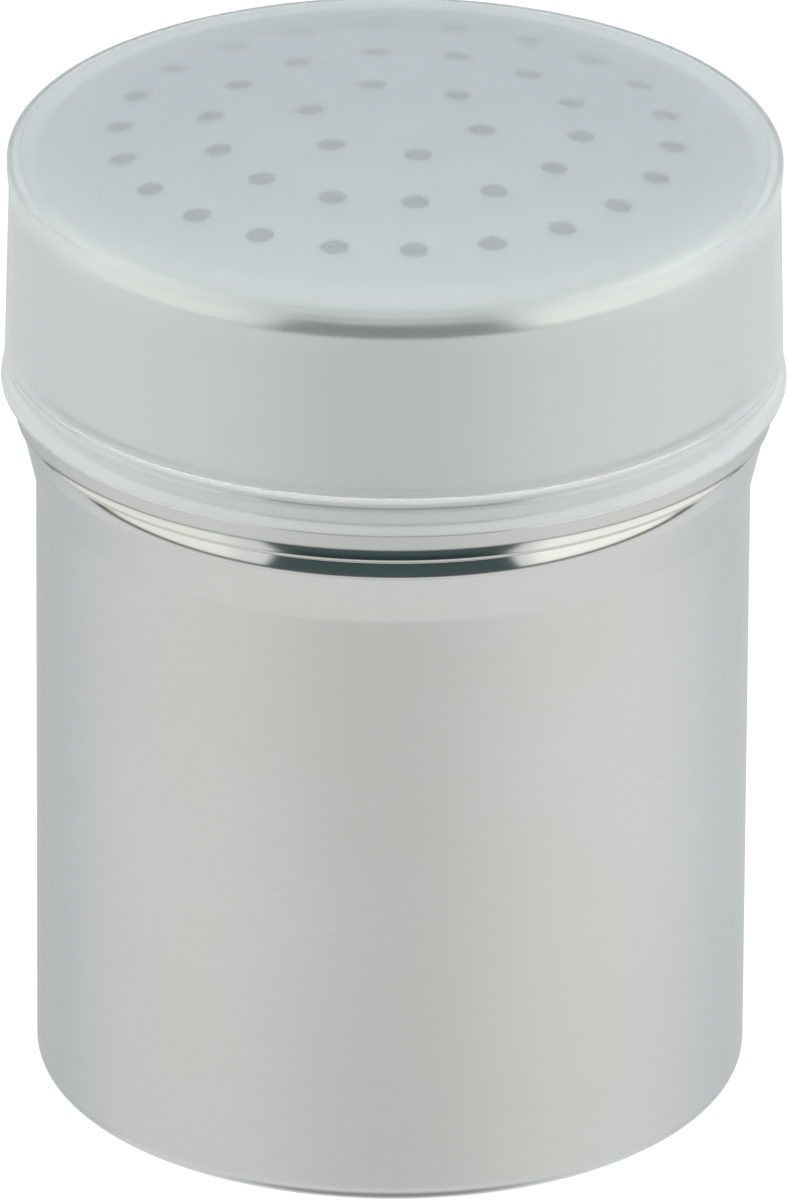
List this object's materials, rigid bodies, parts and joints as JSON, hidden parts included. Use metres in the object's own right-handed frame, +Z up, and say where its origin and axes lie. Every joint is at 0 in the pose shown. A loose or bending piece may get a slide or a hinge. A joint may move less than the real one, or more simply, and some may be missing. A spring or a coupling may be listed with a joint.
{
  "type": "table shaker with perforated lid and plastic cap",
  "caption": "Steel cup with a swaged ring and neck, a push-on domed lid with rings of shaker holes, and a translucent plastic cap that covers the holes.",
  "frame": {"origin": "centre of the cup's base, on the surface that it stands on", "axes": "+Z up along the axis that every piece is turned about; the picture looks along +Y with +X to the right"},
  "size_m": [0.0726, 0.0724, 0.0958],
  "materials": {
    "cup_steel": "fine horizontal brushing on the wall, polished above the crest",
    "lid_steel": "polished, with punched holes",
    "cap_plastic": "milky translucent, smooth"
  },
  "bodies": {
    "cup": {"cup": "cup_steel"},
    "lid": {"shaker_lid": "lid_steel"},
    "cap": {"dust_cap": "cap_plastic"}
  },
  "joints": [
    {"name": "lid_lift", "type": "slide", "parent": "cup", "child": "lid", "axis": [0, 0, 1], "range_m": [0, 0.03]},
    {"name": "cap_lift", "type": "slide", "parent": "lid", "child": "cap", "axis": [0, 0, 1], "range_m": [0, 0.032]}
  ]
}
